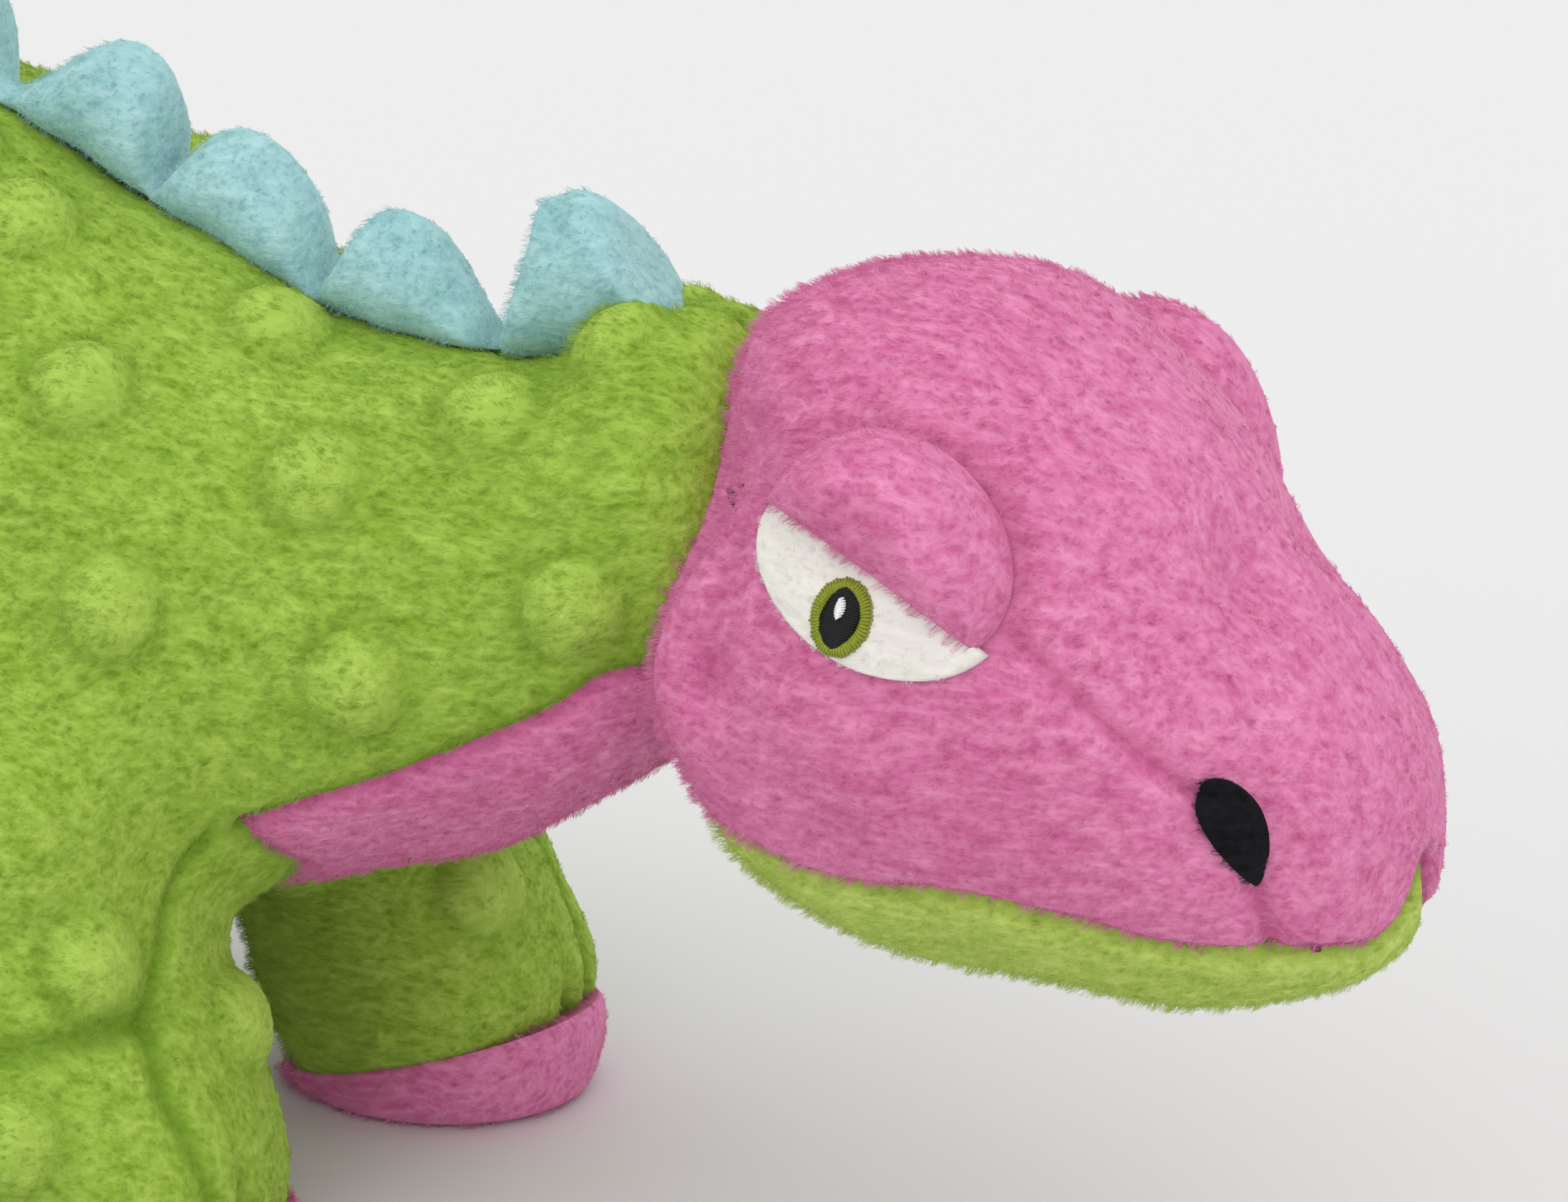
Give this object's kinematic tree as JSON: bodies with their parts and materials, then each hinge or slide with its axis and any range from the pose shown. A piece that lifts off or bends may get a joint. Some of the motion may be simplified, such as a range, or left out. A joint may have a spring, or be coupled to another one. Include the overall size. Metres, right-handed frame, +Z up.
{
  "type": "stuffed dinosaur",
  "caption": "Plush long-necked dinosaur standing on short legs, with a dotted body, a smooth drooping head, sleepy eyes and a soft toothed ridge along the back.",
  "frame": {"origin": "middle of the bounding box in plan, on the floor that the soles stand on", "axes": "+X towards the nose, +Y towards the animal's left, +Z up"},
  "size_m": [0.3752, 0.1312, 0.1761],
  "materials": {
    "green_plush": "short plush with raised dots",
    "pink_plush": "short plush",
    "blue_fleece": "brushed fleece",
    "white_felt": "felt",
    "olive_thread": "satin embroidery",
    "black_thread": "satin embroidery",
    "white_thread": "satin embroidery",
    "black_felt": "short plush",
    "polyester_stuffing": "loose fibre",
    "squeaker_plastic": "thin moulded vinyl"
  },
  "bodies": {
    "body": {"torso_panel_right": "green_plush", "torso_panel_left": "green_plush", "belly_gusset": "pink_plush", "torso_filling": "polyester_stuffing", "squeaker_bellows": "squeaker_plastic", "squeaker_reed": "squeaker_plastic", "ridge_back": "blue_fleece"},
    "neck": {"neck_panel_right": "green_plush", "neck_panel_left": "green_plush", "throat_gusset": "pink_plush", "neck_filling": "polyester_stuffing", "ridge_neck": "blue_fleece"},
    "head": {"crown_gusset": "pink_plush", "cheek_right": "pink_plush", "cheek_left": "pink_plush", "jaw_panel": "green_plush", "head_filling": "polyester_stuffing", "eye_white_right": "white_felt", "eye_white_left": "white_felt", "iris_right": "olive_thread", "iris_left": "olive_thread", "pupil_right": "black_thread", "pupil_left": "black_thread", "glint_right": "white_thread", "glint_left": "white_thread", "eyelid_right": "pink_plush", "eyelid_left": "pink_plush", "nostril_right": "black_felt", "nostril_left": "black_felt"},
    "tail": {"tail_panel_right": "green_plush", "tail_panel_left": "green_plush", "tail_filling": "polyester_stuffing", "ridge_tail": "blue_fleece"},
    "front_right_leg": {"front_right_leg_outer": "green_plush", "front_right_leg_inner": "green_plush", "front_right_filling": "polyester_stuffing", "front_right_sole": "pink_plush"},
    "front_left_leg": {"front_left_leg_outer": "green_plush", "front_left_leg_inner": "green_plush", "front_left_filling": "polyester_stuffing", "front_left_sole": "pink_plush"},
    "hind_right_leg": {"hind_right_leg_outer": "green_plush", "hind_right_leg_inner": "green_plush", "hind_right_filling": "polyester_stuffing", "hind_right_sole": "pink_plush"},
    "hind_left_leg": {"hind_left_leg_outer": "green_plush", "hind_left_leg_inner": "green_plush", "hind_left_filling": "polyester_stuffing", "hind_left_sole": "pink_plush"}
  },
  "joints": [
    {"name": "neck_turn", "type": "hinge", "parent": "body", "child": "neck", "pos_m": [0.06135, 0, 0.095], "axis": [0, 0, 1], "range_deg": [-18, 18], "stiffness_Nm_per_rad": 0.9},
    {"name": "head_nod", "type": "hinge", "parent": "neck", "child": "head", "pos_m": [0.08935, 0, 0.107], "axis": [0, 1, 0], "range_deg": [-18, 18], "stiffness_Nm_per_rad": 0.9},
    {"name": "tail_wag", "type": "hinge", "parent": "body", "child": "tail", "pos_m": [-0.12765, 0, 0.088], "axis": [0, 0, 1], "range_deg": [-22, 22], "stiffness_Nm_per_rad": 0.4},
    {"name": "front_right_hip", "type": "hinge", "parent": "body", "child": "front_right_leg", "pos_m": [-0.00265, -0.039, 0.066], "axis": [0, 1, 0], "range_deg": [-14, 14], "stiffness_Nm_per_rad": 1.2},
    {"name": "front_left_hip", "type": "hinge", "parent": "body", "child": "front_left_leg", "pos_m": [-0.00265, 0.039, 0.066], "axis": [0, 1, 0], "range_deg": [-14, 14], "stiffness_Nm_per_rad": 1.2},
    {"name": "hind_right_hip", "type": "hinge", "parent": "body", "child": "hind_right_leg", "pos_m": [-0.08665, -0.039, 0.066], "axis": [0, 1, 0], "range_deg": [-14, 14], "stiffness_Nm_per_rad": 1.2},
    {"name": "hind_left_hip", "type": "hinge", "parent": "body", "child": "hind_left_leg", "pos_m": [-0.08665, 0.039, 0.066], "axis": [0, 1, 0], "range_deg": [-14, 14], "stiffness_Nm_per_rad": 1.2}
  ]
}
